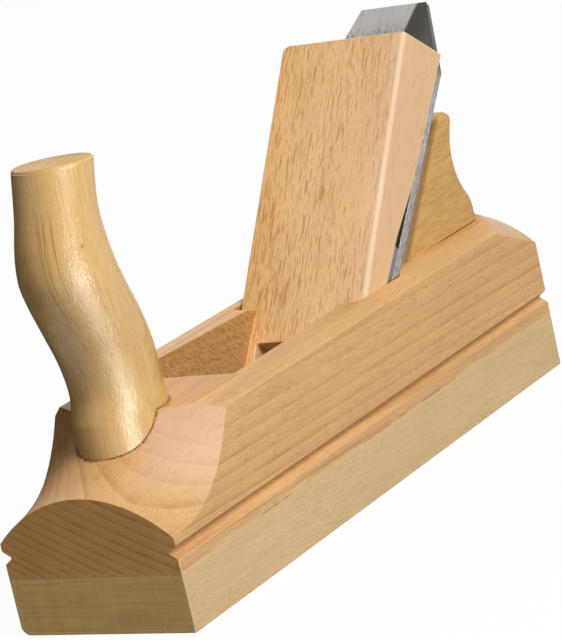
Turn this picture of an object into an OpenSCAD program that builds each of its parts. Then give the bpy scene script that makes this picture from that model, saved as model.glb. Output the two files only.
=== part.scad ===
// Wooden smoothing plane with a horn, double iron, wedge and hand guard.
// X runs along the plane with the toe at +X, Y runs across it, Z is up.
// The origin is the centre of the sole's flat face. Sizes are millimetres.

/* [Body] */
// Length of the body from heel to toe
body_l = 240; // [225:1:260]
// Width of the body and the sole
body_w = 60.8; // [58:0.1:68]
// Height of the flat top above the sole's face
body_h = 57; // [55:0.5:64]
// Height of the vertical side, up to the sloping facet
side_h = 54; // [52:0.5:54.8]
// Width of the facet along the top's left edge
facet_left_w = 9.4; // [6:0.1:9.8]
// Width of the facet along the top's right edge
facet_right_w = 3; // [1:0.1:6]
// Height of the groove along each side
groove_z = 24.1; // [22.5:0.1:28]
// Height of the groove's mouth
groove_w = 4.2; // [2:0.1:6]
// Depth of the groove
groove_depth = 2.7; // [1.5:0.1:3.5]
// Rounding of the groove's bottom
groove_r = 0.5; // [0.3:0.1:0.8]

/* [Sole] */
// Thickness of the sole
sole_t = 17.3; // [15:0.1:19]
// Pitch of the teeth in the glued joint
tooth_pitch = 3; // [2.5:0.1:4]
// Height of the teeth in the glued joint
tooth_h = 1.5; // [0.8:0.1:2]
// Plain margin beside the teeth on each edge
tooth_margin = 2.9; // [1.5:0.1:4]
// Rounding of the sole's lower right edge
sole_edge_r = 3; // [1:0.5:4]

/* [Front hollow and heel] */
// Radius of the hollow along the toe
hollow_r = 58.7; // [54:0.1:64]
// Radius of the arch across the hollow
hollow_arch_r = 38.8; // [37:0.1:42]
// Tilt of the hollow's arch, degrees from level
hollow_tilt = 27; // [22:0.5:30]
// How far ahead of the toe the hollow's centre lies
hollow_ahead = 13.7; // [12:0.1:20]
// Height of the hollow's centre
hollow_z = 98.3; // [96:0.1:104]
// Radius of the arch across the heel
heel_arch_r = 44.9; // [42:0.1:48]
// Slope of the heel's arch, degrees
heel_tilt = 23.5; // [15:0.5:28]
// Height of the arch's axis at the heel face
heel_axis_z = 6.9; // [4:0.1:9]

/* [Bed and throat] */
// Angle of the bed above the sole
bed_angle = 45; // [43:0.5:47]
// Where the bed meets the sole's face, ahead of the middle
bed_x = 14.8; // [8:0.1:20]
// Angle of the abutments, and of the wedge's front
abutment_angle = 50.9; // [50:0.1:52]
// Where the abutments meet the body's top, ahead of the middle
abutment_x = -18.3; // [-20:0.1:-16]
// Gap between the cutting edge and the front of the mouth
mouth_gap = 1.2; // [0.6:0.1:2]
// Angle of the throat's front wall just above the mouth
wear_angle = 75; // [70:1:85]
// Height of that steep stretch
wear_h = 12; // [8:0.5:15]
// Where the throat's front wall meets the body's top
throat_x = 58; // [54:0.5:64]
// From the middle to the throat's left cheek, at its front
left_cheek_front = 20.4; // [19:0.1:20.8]
// From the middle to the throat's left cheek, at the abutment
left_cheek_rear = 19.2; // [17.5:0.1:20.4]
// From the middle to the throat's right cheek, at its front
right_cheek_front = 22.1; // [20:0.1:23]
// From the middle to the throat's right cheek, at the abutment
right_cheek_rear = 17; // [16:0.1:20]
// Clearance between the iron and the slot's left wall
slot_gap_left = 0.1; // [0.1:0.05:0.8]
// Clearance between the iron and the slot's right wall
slot_gap_right = 0.9; // [0.2:0.1:2]
// Length of the slope that eases the top of the abutments
ease_l = 7; // [4:0.5:9]
// Depth of that slope where it meets the wedge
ease_d = 1.6; // [0.8:0.1:2.5]
// Depth of the channel in the bed for the screw's head
channel_depth = 6.5; // [6:0.1:8]
// Width of that channel
channel_w = 18; // [17:0.5:22]
// Length of bed left whole below the channel
channel_start = 40; // [30:1:45]
// Clearance between faces that slide on each other
slide_gap = 0.04; // [0.02:0.01:0.08]
// Clearance between the wedge and its abutments
wedge_gap = 0.15; // [0.12:0.01:0.25]

/* [Iron] */
// Length of the iron
iron_l = 186; // [170:1:195]
// Width of the iron
iron_w = 45.8; // [44:0.1:47]
// Thickness of the iron at its cutting edge
iron_t = 4.4; // [3.8:0.1:4.8]
// Thickness of the iron at its head
iron_head_t = 2.5; // [2:0.1:3.2]
// Angle of the ground bevel
bevel_angle = 25; // [25:1:35]
// How far the edge is drawn back from the sole's face
edge_back = 0.3; // [0.2:0.05:0.5]
// Width of the flat on the iron's head
head_w = 25; // [20:0.5:35]
// Angle of the head's cut corners from the iron's length
head_cut = 20.7; // [18:0.1:35]
// Width of the slot for the screw
slot_w = 11.5; // [9.5:0.1:13]
// Where the slot starts above the edge
slot_start = 48; // [45:1:54]
// Where the slot ends above the edge
slot_end = 128; // [100:1:135]
// Diameter of the round hole at the slot's upper end
keyhole_d = 17; // [16:0.5:20]

/* [Cap iron] */
// Length of the cap iron
cap_l = 90; // [84:1:96]
// Thickness of the cap iron
cap_t = 2.4; // [2:0.1:2.8]
// How far the cap iron stops short of the cutting edge
cap_back = 1; // [0.5:0.1:2]
// Length of the slope at its lower end
cap_nose = 7; // [5:0.5:10]
// Thickness of its lower edge
cap_nose_t = 0.3; // [0.2:0.05:0.6]
// Height of the screw's axis above the cutting edge
screw_s = 66; // [64:0.5:75]
// Diameter of the screw's thread
screw_d = 8; // [6:0.5:9]
// Diameter of the screw's head
screw_head_d = 15; // [13:0.5:16]
// Thickness of the screw's head
screw_head_h = 4.6; // [3.5:0.1:5]
// Width of the slot in the screw's head
driver_w = 1.8; // [1.2:0.1:2.5]
// Depth of the slot in the screw's head
driver_depth = 2; // [1:0.1:2.5]
// Clearance of the thread in the cap iron
thread_gap = 0.05; // [0.02:0.01:0.09]

/* [Wedge] */
// Width of the wedge
wedge_w = 46.2; // [44:0.1:46.4]
// Height of the wedge's top front edge above the body's top
wedge_rise = 71; // [60:0.5:80]
// Slope of the wedge's top end, degrees from square to the bed
wedge_end = 12.9; // [5:0.1:15]
// Rounding of the wedge's top right corner
wedge_corner_r = 2.5; // [1:0.5:6]
// Width of the cut between the wedge's legs
notch_w = 30.2; // [26:0.2:31]
// Depth of the cut below the body's top, along the wedge
notch_below = 10.8; // [9:0.1:16]
// Rounding of the cut's upper corners
notch_r = 1; // [1:0.1:3]
// Height of the legs' tips above the sole's face
leg_z = 14; // [12:0.5:20]
// How far the legs' tips are cut back under their front
leg_cut = 3; // [1:0.5:5]
// How far above the cap iron the wedge's back stays flat
knee_rise = 3; // [1:0.5:6]
// Length over which the wedge's back comes down to the iron
knee_run = 22; // [15:1:30]

/* [Horn] */
// Height of the horn's top above the body's top
horn_rise = 76.2; // [70:0.5:85]
// Where the horn's foot is centred, back from the toe
horn_back = 31.4; // [31:0.1:34]
// How far the horn stands to the right of the middle
horn_aside = 0.5; // [0:0.1:1]
// Length of the horn's foot
horn_foot_l = 31.4; // [29:0.2:33]
// Width of the horn's foot
horn_foot_w = 26.2; // [24:0.2:28]
// Thickness of the horn at its waist
horn_waist_d = 26.2; // [24:0.2:28]
// Thickness of the horn at its swell
horn_swell_d = 28; // [26:0.2:31]
// Thickness of the horn at its neck
horn_neck_d = 24; // [22:0.2:27]
// Thickness of the horn at its top
horn_top_d = 23.8; // [22:0.2:27]
// How much longer than wide its sections are
horn_oval = 2; // [0.5:0.1:4]
// How far the bend leans ahead of the foot
horn_lean = 9.4; // [6:0.1:12]
// How far the top stands ahead of the foot
horn_top_lean = 4.1; // [2:0.1:8]
// How far the top slopes down towards the rear, degrees
horn_top_tilt = 3; // [0:0.5:8]
// Rounding of the horn's top edge
horn_edge_r = 0.9; // [0.4:0.1:2]
// Depth of the socket for the horn below the body's top
socket_depth = 21; // [18:0.5:24]
// Clearance of the glued pieces in their sockets
glue_gap = 0.1; // [0.05:0.01:0.2]

/* [Hand guard] */
// Width of the hand guard
guard_w = 39.2; // [30:0.2:40]
// Height of the hand guard above the body's top
guard_h = 38.7; // [32:0.5:42]
// Length of the hand guard's foot on the body
guard_foot = 51.3; // [45:0.1:56]
// Radius of the hollow down its back
guard_hollow_r = 19.5; // [17:0.1:24]
// Height of the plain foot below that hollow
guard_heel_h = 7; // [4:0.5:10]
// How far the hollow cuts in ahead of the foot's back
guard_hollow_in = 6.8; // [4:0.1:8]
// Rounding of its top towards the iron
guard_round_r = 24; // [18:0.5:30]
// Rounding of its top corners, seen from the front
guard_corner_r = 4; // [1:0.5:6]
// Length of its tongue
tongue_l = 30; // [20:1:36]
// Width of its tongue
tongue_w = 12; // [8:0.5:16]
// Depth of its tongue
tongue_depth = 9; // [6:0.5:12]

/* [Strike button] */
// Height of the strike button's axis
button_z = 38; // [34:0.5:42]
// Diameter of the strike button's head
button_d = 20; // [16:0.5:22]
// How far its head stands out of the heel
button_out = 3; // [2:0.1:4]
// Depth of the recess for its head
button_in = 2; // [1:0.1:4]
// Diameter of its stem
stem_d = 10; // [8:0.5:12]
// Length of its stem beyond the head
stem_l = 16; // [10:0.5:24]

/* [Hidden] */
$fn = 96;

beech = [0.86, 0.66, 0.46];
hornbeam = [0.87, 0.76, 0.54];
steel = [0.55, 0.56, 0.58];
dark_steel = [0.35, 0.35, 0.37];

over = 3;
wide = body_w + 2 * over;
toe_x = body_l / 2;
heel_x = -body_l / 2;
slot_left = max(iron_w, wedge_w) / 2 + slot_gap_left;
slot_right = max(iron_w, wedge_w) / 2 + slot_gap_right;

// The bed's own frame: s runs up the bed from the sole's face, t off the bed
function bed_s(x, z) = (bed_x - x) * cos(bed_angle) + z * sin(bed_angle);
function bed_t(x, z) = (x - bed_x) * sin(bed_angle) + z * cos(bed_angle);
// Where a line off the bed crosses a given height
function x_at(s, t) = bed_x - s * cos(bed_angle) + t * sin(bed_angle);
function z_at(s, t) = s * sin(bed_angle) + t * cos(bed_angle);

// The edge stands where the iron's face meets the sole's face, drawn back
edge_s = -iron_t / tan(bed_angle) + edge_back / sin(bed_angle);
edge_x = x_at(edge_s, iron_t);
iron_top_s = edge_s + iron_l;
iron_slope = (iron_t - iron_head_t) / iron_l;
function iron_face(s) = iron_t + slide_gap - (s - edge_s) * iron_slope;
mouth_x = edge_x + mouth_gap;
wear_x = mouth_x + wear_h / tan(wear_angle);
cap_bottom_s = edge_s + cap_back;
cap_top_s = cap_bottom_s + cap_l;
function cap_face(s) = iron_face(s) + slide_gap + cap_t;
screw_at_s = edge_s + screw_s;

// The abutments in the bed's frame
rake = abutment_angle - bed_angle;
abut_s = bed_s(abutment_x, body_h);
abut_t = bed_t(abutment_x, body_h);
function abut_face(s) = abut_t + (s - abut_s) * tan(rake);
bed_top_s = body_h / sin(bed_angle);

// A side view drawn in X and Z, given a width across the plane
module side_view(w) {
    rotate([90, 0, 0]) linear_extrude(w, center = true) children();
}

// A side view filled out from one distance right of the middle to one left of it
module side_view_between(right, left) {
    translate([0, (left - right) / 2, 0]) side_view(left + right) children();
}

// A side view drawn in the bed's frame, with s running down to the left
module bed_view(w) {
    translate([bed_x, 0, 0]) rotate([0, bed_angle, 0]) side_view(w) mirror([1, 0]) children();
}

// A plan of the iron drawn along s and Y, raised off the bed by t
module bed_plan(t, h) {
    translate([bed_x, 0, 0]) rotate([0, bed_angle, 0]) translate([0, 0, t])
        linear_extrude(h) mirror([1, 0]) children();
}

// A round bar square to the bed
module off_bed(s, t, d, h) {
    translate([bed_x, 0, 0]) rotate([0, bed_angle, 0]) translate([-s, 0, t]) cylinder(h, d = d);
}

// An oval with round ends, its length along X
module oval(l, w) {
    union() {
        square([l - w, w], center = true);
        for (side = [-1, 1]) translate([side * (l - w) / 2, 0]) circle(d = w);
    }
}

// The toothed line of the glue joint, from the left edge to the right
tooth_span = body_w - 2 * tooth_margin;
tooth_count = floor(tooth_span / tooth_pitch);
tooth_step = tooth_span / tooth_count;
tooth_line = [for (i = [0 : 2 * tooth_count])
    [-tooth_span / 2 + i * tooth_step / 2, sole_t + (i % 2 == 1 ? tooth_h : 0)]];

module sole_section() {
    polygon(concat([[-body_w / 2, 0], [-body_w / 2, sole_t]], tooth_line,
                   [[body_w / 2, sole_t], [body_w / 2, 0]]));
}

module body_section() {
    polygon(concat(tooth_line,
                   [[body_w / 2, sole_t], [body_w / 2, side_h],
                    [body_w / 2 - facet_left_w, body_h], [facet_right_w - body_w / 2, body_h],
                    [-body_w / 2, side_h], [-body_w / 2, sole_t]]));
}

module groove_section() {
    for (side = [-1, 1]) translate([side * body_w / 2, groove_z])
        hull() {
            translate([-side * (groove_depth - groove_r), 0]) circle(groove_r, $fn = 24);
            square([0.02, groove_w], center = true);
            translate([side * over, 0]) square([0.02, groove_w], center = true);
        }
}

module lengthwise(l) {
    translate([-l / 2, 0, 0]) rotate([90, 0, 90]) linear_extrude(l) children();
}

// The saddle-shaped hollow round the horn
module front_hollow() {
    ring = hollow_r + hollow_arch_r;
    translate([toe_x + hollow_ahead, 0, hollow_z]) rotate([0, hollow_tilt, 0])
        translate([0, 0, -ring]) rotate([0, -90, 0]) rotate([0, 0, -90])
            rotate_extrude(angle = 180) translate([ring, 0]) circle(hollow_r);
}

// The corners taken off the heel outside a sloping arch
module heel_corners() {
    tall = body_h - groove_z - groove_w;
    difference() {
        translate([heel_x - over, -wide / 2, body_h - tall])
            cube([body_h, wide, tall + over]);
        translate([heel_x, 0, heel_axis_z]) rotate([0, 90 - heel_tilt, 0])
            cylinder(4 * body_h, r = heel_arch_r, center = true);
    }
}

// Everything cut away between the bed and the throat's front wall
module throat_side() {
    polygon([[x_at(-over, 0), z_at(-over, 0)],
             [x_at(bed_top_s + over, 0), z_at(bed_top_s + over, 0)],
             [throat_x + over, body_h + over], [throat_x, body_h],
             [wear_x, wear_h], [mouth_x, 0], [mouth_x, z_at(-over, 0)]]);
}

module throat() {
    intersection() {
        side_view(wide) throat_side();
        translate([0, 0, -over]) linear_extrude(body_h + 2 * over)
            polygon([[heel_x, left_cheek_rear], [abutment_x, left_cheek_rear],
                     [throat_x, left_cheek_front], [toe_x, left_cheek_front],
                     [toe_x, -right_cheek_front], [throat_x, -right_cheek_front],
                     [abutment_x, -right_cheek_rear], [heel_x, -right_cheek_rear]]);
    }
}

// The wide slot behind the abutments, for the iron and the wedge
module iron_slot() {
    intersection() {
        side_view_between(slot_right, slot_left) throat_side();
        bed_view(wide) polygon([[-body_h, -over], [bed_top_s + body_h, -over],
                                [bed_top_s + body_h, abut_face(bed_top_s + body_h)],
                                [-body_h, abut_face(-body_h)]]);
    }
}

// The slope that eases the abutments' upper ends
module abutment_ease() {
    side_view_between(slot_right, slot_left)
        polygon([[abutment_x + ease_l, body_h], [abutment_x + ease_l, body_h + over],
                 [abutment_x - over, body_h + over], [abutment_x - over, body_h],
                 [abutment_x + ease_d / tan(abutment_angle), body_h - ease_d]]);
}

// The channel in the bed that lets the screw's head pass
module bed_channel() {
    bed_view(channel_w) polygon([[channel_start, over], [channel_start, 0],
                                 [channel_start + channel_depth, -channel_depth],
                                 [bed_top_s + 2 * body_h, -channel_depth],
                                 [bed_top_s + 2 * body_h, over]]);
}

module body_block() {
    lengthwise(body_l) difference() {
        body_section();
        groove_section();
    }
}

horn_x = toe_x - horn_back;
guard_front_x = x_at(bed_top_s + channel_depth / tan(bed_angle), -channel_depth);
guard_back_x = guard_front_x - guard_foot;
tongue_x = (guard_front_x + guard_back_x) / 2;

module body() {
    color(beech) difference() {
        body_block();
        front_hollow();
        heel_corners();
        throat();
        iron_slot();
        abutment_ease();
        bed_channel();
        translate([horn_x, -horn_aside, body_h - socket_depth]) linear_extrude(body_h)
            oval(horn_foot_l + 2 * glue_gap, horn_foot_w + 2 * glue_gap);
        translate([tongue_x, 0, body_h]) cube([tongue_l + 2 * glue_gap, tongue_w + 2 * glue_gap,
                                               2 * (tongue_depth + glue_gap)], center = true);
        button_blank(glue_gap);
    }
}

module sole() {
    color(hornbeam) difference() {
        lengthwise(body_l) intersection() {
            sole_section();
            union() {
                translate([0, sole_t]) square([wide, 2 * (sole_t - sole_edge_r)], center = true);
                square([body_w / 2, sole_t]);
                translate([-body_w / 2 + sole_edge_r, 0]) square([body_w / 2, sole_t]);
                translate([-body_w / 2 + sole_edge_r, sole_edge_r]) circle(sole_edge_r);
            }
        }
        throat();
        iron_slot();
    }
}

// The horn: stations up its length give height, lean, width and length
function mix(a, b, share) = a + (b - a) * share;
function station(h, lean, d, oval_share) = [h, lean, d, d + oval_share * horn_oval];
horn_stations = [
    [0, 0, horn_foot_w, horn_foot_l],
    station(0.105, -0.06 * horn_lean, horn_waist_d, 1),
    station(0.235, 0.03 * horn_lean, mix(horn_waist_d, horn_swell_d, 0.5), 1),
    station(0.366, 0.36 * horn_lean, horn_swell_d, 1),
    station(0.497, 0.77 * horn_lean, horn_swell_d, 1),
    station(0.588, 0.98 * horn_lean, mix(horn_swell_d, horn_neck_d, 0.05), 0.8),
    station(0.693, horn_lean, mix(horn_swell_d, horn_neck_d, 0.45), 0.6),
    station(0.824, mix(horn_top_lean, horn_lean, 0.68), horn_neck_d, 0.3),
    station(1, horn_top_lean, horn_top_d, 0.2)];

// A smooth curve through the stations' values in one column
function slope_at(i, c) = let (a = max(i - 1, 0), b = min(i + 1, len(horn_stations) - 1))
    (horn_stations[b][c] - horn_stations[a][c]) / (horn_stations[b][0] - horn_stations[a][0]);
function station_below(u) = max([0, for (i = [0 : len(horn_stations) - 2])
    if (horn_stations[i][0] <= u) i]);
function horn_value(u, c) =
    let (i = station_below(u), a = horn_stations[i], b = horn_stations[i + 1],
         d = b[0] - a[0], v = (u - a[0]) / d, v2 = v * v, v3 = v2 * v)
    (2 * v3 - 3 * v2 + 1) * a[c] + (v3 - 2 * v2 + v) * d * slope_at(i, c)
    + (3 * v2 - 2 * v3) * b[c] + (v3 - v2) * d * slope_at(i + 1, c);

// One ring of the horn, drawn in by the top edge's rounding
horn_sides = 40;
horn_rings = 32;
neck_u = 0.7;
function horn_ring(z, x, w, l, tilt = 0) = [for (i = [0 : horn_sides - 1])
    let (a = 360 * (i + 0.5) / horn_sides,
         ahead = sign(cos(a)) * (l - w) / 2 + cos(a) * w / 2)
    [x + ahead, sin(a) * w / 2 - horn_aside, z + ahead * tan(tilt)]];
function horn_level(u) = horn_ring(body_h + u * horn_rise, horn_x + horn_value(u, 1),
                                   horn_value(u, 2), horn_value(u, 3),
                                   horn_top_tilt * max(0, (u - neck_u) / (1 - neck_u)));
function horn_brim(a) = let (inset = 2 * horn_edge_r * (1 - cos(a)))
    horn_ring(body_h + horn_rise - horn_edge_r * (1 - sin(a)), horn_x + horn_top_lean,
              horn_value(1, 2) - inset, horn_value(1, 3) - inset, horn_top_tilt);

module horn() {
    last_u = 1 - 1.2 * horn_edge_r / horn_rise;
    levels = concat([horn_ring(body_h - socket_depth, horn_x, horn_foot_w, horn_foot_l)],
                    [for (i = [0 : horn_rings]) horn_level(last_u * i / horn_rings)],
                    [for (a = [0 : 22.5 : 90]) horn_brim(a)]);
    n = horn_sides;
    rows = len(levels);
    points = [for (level = levels) each level];
    walls = [for (r = [0 : rows - 2], i = [0 : n - 1]) let (j = (i + 1) % n)
        [r * n + i, (r + 1) * n + i, (r + 1) * n + j, r * n + j]];
    floor_face = [[for (i = [0 : n - 1]) i]];
    top_face = [[for (i = [n - 1 : -1 : 0]) (rows - 1) * n + i]];
    color(hornbeam) polyhedron(points, concat(walls, floor_face, top_face));
}

// The hand guard's side view: a face along the iron, a round top, a hollow back
module guard_side() {
    top_z = body_h + guard_h;
    face_h = guard_h - guard_round_r * (1 - cos(bed_angle));
    round_x = guard_front_x - face_h / tan(bed_angle) - guard_round_r * sin(bed_angle);
    difference() {
        union() {
            polygon([[guard_front_x, body_h], [guard_front_x - face_h / tan(bed_angle), body_h + face_h],
                     [guard_back_x, body_h + face_h], [guard_back_x, body_h]]);
            intersection() {
                translate([round_x, top_z - guard_round_r]) circle(guard_round_r);
                translate([guard_back_x, body_h]) square([guard_foot, guard_h + over]);
            }
        }
        translate([guard_back_x + guard_hollow_in - guard_hollow_r,
                   (body_h + guard_heel_h + top_z) / 2])
            circle(guard_hollow_r);
    }
}

module guard_front() {
    tall = guard_h - guard_corner_r;
    translate([-guard_w / 2, body_h]) square([guard_w, tall]);
    translate([guard_corner_r - guard_w / 2, body_h]) square([guard_w - 2 * guard_corner_r, guard_h]);
    for (side = [-1, 1]) translate([side * (guard_w / 2 - guard_corner_r), body_h + tall])
        circle(guard_corner_r);
}

module hand_guard() {
    color(hornbeam) union() {
        intersection() {
            side_view(guard_w) guard_side();
            lengthwise(body_l) guard_front();
        }
        translate([tongue_x, 0, body_h - tongue_depth / 2 + over / 2])
            cube([tongue_l, tongue_w, tongue_depth + over], center = true);
    }
}

// The strike button lies along X in the heel
module button_blank(gap) {
    translate([heel_x - over, 0, button_z]) rotate([0, 90, 0]) {
        cylinder(over + button_in + gap, d = button_d + 2 * gap);
        cylinder(over + button_in + stem_l + gap, d = stem_d + 2 * gap);
    }
}

module strike_button() {
    dome_r = (pow(button_d / 2, 2) + pow(button_out, 2)) / (2 * button_out);
    color(dark_steel) intersection() {
        translate([heel_x + button_in + stem_l, 0, button_z]) rotate([0, -90, 0]) rotate_extrude()
            polygon([[0, 0], [stem_d / 2, 0], [stem_d / 2, stem_l], [button_d / 2, stem_l],
                     [button_d / 2, stem_l + button_in + button_out],
                     [0, stem_l + button_in + button_out]]);
        translate([heel_x - button_out + dome_r, 0, button_z]) sphere(dome_r);
    }
}

// The iron: a tapered plate, ground at its lower end and slotted
module iron_plan() {
    cut_l = (iron_w - head_w) / 2 / tan(head_cut);
    difference() {
        polygon([[edge_s, -iron_w / 2], [iron_top_s - cut_l, -iron_w / 2],
                 [iron_top_s, -head_w / 2], [iron_top_s, head_w / 2],
                 [iron_top_s - cut_l, iron_w / 2], [edge_s, iron_w / 2]]);
        translate([edge_s + (slot_start + slot_end) / 2, 0])
            oval(slot_end - slot_start + slot_w, slot_w);
        translate([edge_s + slot_end, 0]) circle(d = keyhole_d);
    }
}

module iron() {
    color(steel) intersection() {
        bed_plan(-over, iron_t + 2 * over) iron_plan();
        bed_view(iron_w + over)
            polygon([[edge_s, iron_face(edge_s)], [iron_top_s, iron_face(iron_top_s)],
                     [iron_top_s, slide_gap],
                     [edge_s + iron_t / tan(bevel_angle), slide_gap]]);
    }
}

module cap_iron() {
    color(steel) difference() {
        bed_view(iron_w)
            polygon([[cap_bottom_s, iron_face(cap_bottom_s) + slide_gap],
                     [cap_bottom_s, iron_face(cap_bottom_s) + slide_gap + cap_nose_t],
                     [cap_bottom_s + cap_nose, cap_face(cap_bottom_s + cap_nose)],
                     [cap_top_s, cap_face(cap_top_s)],
                     [cap_top_s, iron_face(cap_top_s) + slide_gap]]);
        off_bed(screw_at_s, 0, screw_d + 2 * thread_gap, iron_t + 2 * cap_t);
    }
}

// The screw: its head lies behind the iron, its thread ends in the cap iron
module cap_screw() {
    shank_end = cap_face(screw_at_s) - slide_gap;
    color(dark_steel) difference() {
        union() {
            off_bed(screw_at_s, -screw_head_h, screw_head_d, screw_head_h);
            off_bed(screw_at_s, -screw_head_h, screw_d, shank_end + screw_head_h);
        }
        bed_view(driver_w) translate([screw_at_s, -screw_head_h])
            square([screw_head_d + over, 2 * driver_depth], center = true);
    }
}

// The wedge's back lies on the cap iron, then comes down to the iron's face
module wedge_side() {
    tip_s = leg_z / sin(abutment_angle) * cos(rake);
    top_s = bed_s(abutment_x, body_h) + wedge_rise / sin(abutment_angle) * cos(rake);
    knee_s = cap_top_s + knee_rise;
    foot_s = knee_s + knee_run;
    back_s = top_s + (abut_face(top_s) - iron_face(top_s)) * tan(wedge_end);
    polygon([[tip_s - leg_cut, cap_face(tip_s - leg_cut) + slide_gap],
             [knee_s, cap_face(knee_s) + slide_gap],
             [foot_s, iron_face(foot_s) + slide_gap],
             [back_s, iron_face(back_s) + slide_gap],
             [top_s, abut_face(top_s) - wedge_gap],
             [tip_s, abut_face(tip_s) - wedge_gap]]);
}

// The wedge's own plan, with s running up it from where it enters the body
module wedge_plan() {
    tall = wedge_rise / sin(abutment_angle);
    notch_s = -notch_below / sin(abutment_angle);
    low = -2 * body_h;
    corner = wedge_w / 2 - wedge_corner_r;
    difference() {
        union() {
            translate([low, -wedge_w / 2]) square([tall - low - wedge_corner_r, wedge_w]);
            translate([low, -corner]) square([tall + wedge_w - low, corner + wedge_w / 2]);
            translate([tall - wedge_corner_r, -corner]) circle(wedge_corner_r);
        }
        translate([low, -notch_w / 2]) square([notch_s - notch_r - low, notch_w]);
        translate([low, notch_r - notch_w / 2]) square([notch_s - low, notch_w - 2 * notch_r]);
        for (side = [-1, 1]) translate([notch_s - notch_r, side * (notch_w / 2 - notch_r)])
            circle(notch_r);
    }
}

module wedge() {
    color(beech) intersection() {
        bed_view(wedge_w) wedge_side();
        translate([abutment_x, 0, body_h]) rotate([0, abutment_angle, 0])
            linear_extrude(2 * body_h, center = true) mirror([1, 0]) wedge_plan();
    }
}

body();
sole();
horn();
hand_guard();
strike_button();
iron();
cap_iron();
cap_screw();
wedge();
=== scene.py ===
import math

import bmesh
import bpy
import numpy as np
from mathutils import Matrix, Vector


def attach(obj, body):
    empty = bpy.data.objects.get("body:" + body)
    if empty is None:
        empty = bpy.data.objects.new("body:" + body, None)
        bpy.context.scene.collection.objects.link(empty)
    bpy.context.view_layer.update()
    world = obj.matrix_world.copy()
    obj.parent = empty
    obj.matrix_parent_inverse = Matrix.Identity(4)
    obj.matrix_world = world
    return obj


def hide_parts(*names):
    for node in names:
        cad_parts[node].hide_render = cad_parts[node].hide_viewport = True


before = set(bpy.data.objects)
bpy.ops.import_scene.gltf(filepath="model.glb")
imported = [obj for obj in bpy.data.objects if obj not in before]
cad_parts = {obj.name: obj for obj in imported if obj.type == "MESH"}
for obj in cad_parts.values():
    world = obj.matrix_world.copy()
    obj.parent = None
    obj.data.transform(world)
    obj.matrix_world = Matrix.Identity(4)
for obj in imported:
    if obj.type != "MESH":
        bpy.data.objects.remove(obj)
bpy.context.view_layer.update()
scene = bpy.context.scene
MM = 0.001

# Camera: a long lens ahead of the toe and to its left, a little above the horn and
# rolled clockwise, so that the sole's lower edge climbs to the right.
AZIMUTH, ELEVATION, ROLL = math.radians(123.427), math.radians(13.037), math.radians(-12.773)
FOCAL_PX, IMAGE_HEIGHT_PX, FILM_HEIGHT = 3318.44, 640, 24
eye_offset = Vector((10.059, -53.323, -1046.32)) * MM
right = Vector((math.cos(AZIMUTH), math.sin(AZIMUTH), 0))
back = Vector((math.sin(AZIMUTH) * math.cos(ELEVATION),
               -math.cos(AZIMUTH) * math.cos(ELEVATION), math.sin(ELEVATION)))
level = Matrix((right, back.cross(right), back))
view_turn = (Matrix.Rotation(-ROLL, 3, "Z") @ level).transposed()


def new_object(name, data):
    """An object in the scene."""
    made = bpy.data.objects.new(name, data)
    scene.collection.objects.link(made)
    return made


lens = bpy.data.cameras.new("camera")
lens.sensor_fit = "VERTICAL"
lens.sensor_height = FILM_HEIGHT
lens.lens = FOCAL_PX / IMAGE_HEIGHT_PX * FILM_HEIGHT
lens.clip_end = 30
camera = new_object("camera", lens)
camera.matrix_world = Matrix.Translation(view_turn @ -eye_offset) @ view_turn.to_4x4()
scene.camera = camera
scene.view_settings.view_transform = "Standard"

# Lights: one large soft box high on the plane's left lights the long side and the top, a
# weak one behind fills the right side and the heel, and the room adds a little.
KEY_WATTS, FILL_WATTS, ROOM = 16.5, 4.0, 0.18
AIMED_AT = Vector((0, 0, 0.05))


def lamp(name, shape, wide, high, watts):
    """An area lamp, its size in metres."""
    light = bpy.data.lights.new(name, "AREA")
    light.shape = shape
    light.size, light.size_y = wide, high
    light.energy = watts
    return new_object(name, light)


def soft_box(name, azimuth, elevation, distance, size, watts):
    """A lamp on a sphere round the plane's middle, turned towards it."""
    holder = lamp(name, "RECTANGLE", *size, watts)
    a, e = math.radians(azimuth), math.radians(elevation)
    away = Vector((math.cos(e) * math.cos(a), math.cos(e) * math.sin(a), math.sin(e)))
    holder.location = away * distance + AIMED_AT
    holder.rotation_euler = away.to_track_quat("Z", "Y").to_euler()


soft_box("key_light", 72, 42, 1.3, (0.55, 0.7), KEY_WATTS)
soft_box("fill_light", -135, 25, 1.5, (0.5, 0.5), FILL_WATTS)


def add(tree, kind, wires=(), **settings):
    """One shader node. Wires gives its inputs by name or number: a value or an output."""
    made = tree.nodes.new("ShaderNode" + kind)
    for key, value in settings.items():
        setattr(made, key, value)
    for key, value in dict(wires).items():
        if isinstance(value, bpy.types.NodeSocket):
            tree.links.new(value, made.inputs[key])
        else:
            made.inputs[key].default_value = value
    return made


def calc(tree, operation, *values):
    """The output of one Math node."""
    return add(tree, "Math", enumerate(values), operation=operation).outputs[0]


def direct_rays(tree):
    """One for what the camera sees, straight or in a gloss or through a clear body."""
    path = add(tree, "LightPath")
    seen = calc(tree, "MAXIMUM", path.outputs["Is Camera Ray"], path.outputs["Is Glossy Ray"])
    return calc(tree, "MAXIMUM", seen, path.outputs["Is Transmission Ray"])


world = bpy.data.worlds.new("room")
scene.world = world
world.use_nodes = True
tree = world.node_tree
tree.nodes.clear()
room = add(tree, "Background", {"Color": (1, 1, 1, 1), "Strength": ROOM})
white = add(tree, "Background", {"Color": (1, 1, 1, 1), "Strength": 1})
both = add(tree, "MixShader", {0: direct_rays(tree), 1: room.outputs[0], 2: white.outputs[0]})
add(tree, "OutputWorld", {"Surface": both.outputs[0]})

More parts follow.
